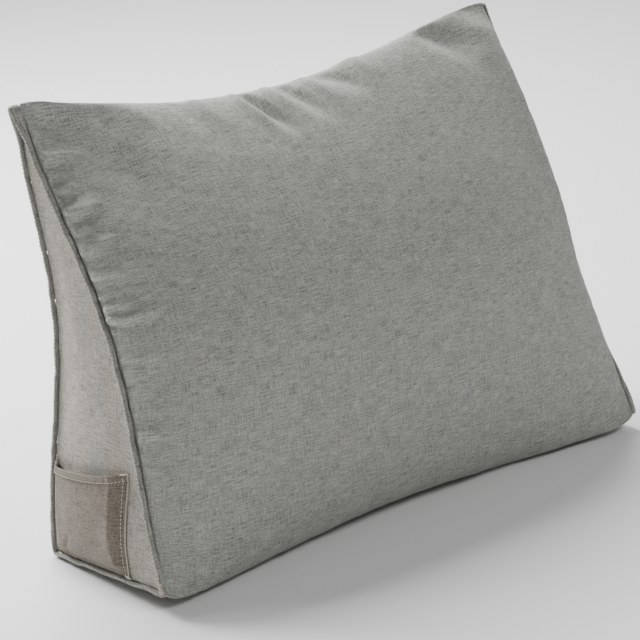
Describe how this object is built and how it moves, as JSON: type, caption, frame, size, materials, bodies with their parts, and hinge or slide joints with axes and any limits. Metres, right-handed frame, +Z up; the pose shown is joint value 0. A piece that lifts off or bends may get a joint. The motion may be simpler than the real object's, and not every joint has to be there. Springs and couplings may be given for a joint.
{
  "type": "backrest pillow",
  "caption": "Wedge backrest pillow with a crowned front face, triangular side panels, raised side seams and a side pocket.",
  "frame": {"origin": "middle of the base, on the surface that the pillow stands on", "axes": "+X across the front, from the side with the pocket to the plain side; +Y from the front face to the back; +Z up"},
  "size_m": [0.6654, 0.224, 0.4598],
  "materials": {
    "cushion_cloth": "heathered grey linen-look plain weave, matt",
    "panel_cloth": "the same grey cloth on the side panels and pocket, cut with its slubs upright"
  },
  "bodies": {
    "root": {"cushion": "cushion_cloth", "pocket": "panel_cloth", "side_panel_left": "panel_cloth", "seam_front_left": "cushion_cloth", "seam_back_left": "cushion_cloth", "seam_base_left": "cushion_cloth", "side_panel_right": "panel_cloth", "seam_front_right": "cushion_cloth", "seam_back_right": "cushion_cloth", "seam_base_right": "cushion_cloth"}
  },
  "joints": []
}
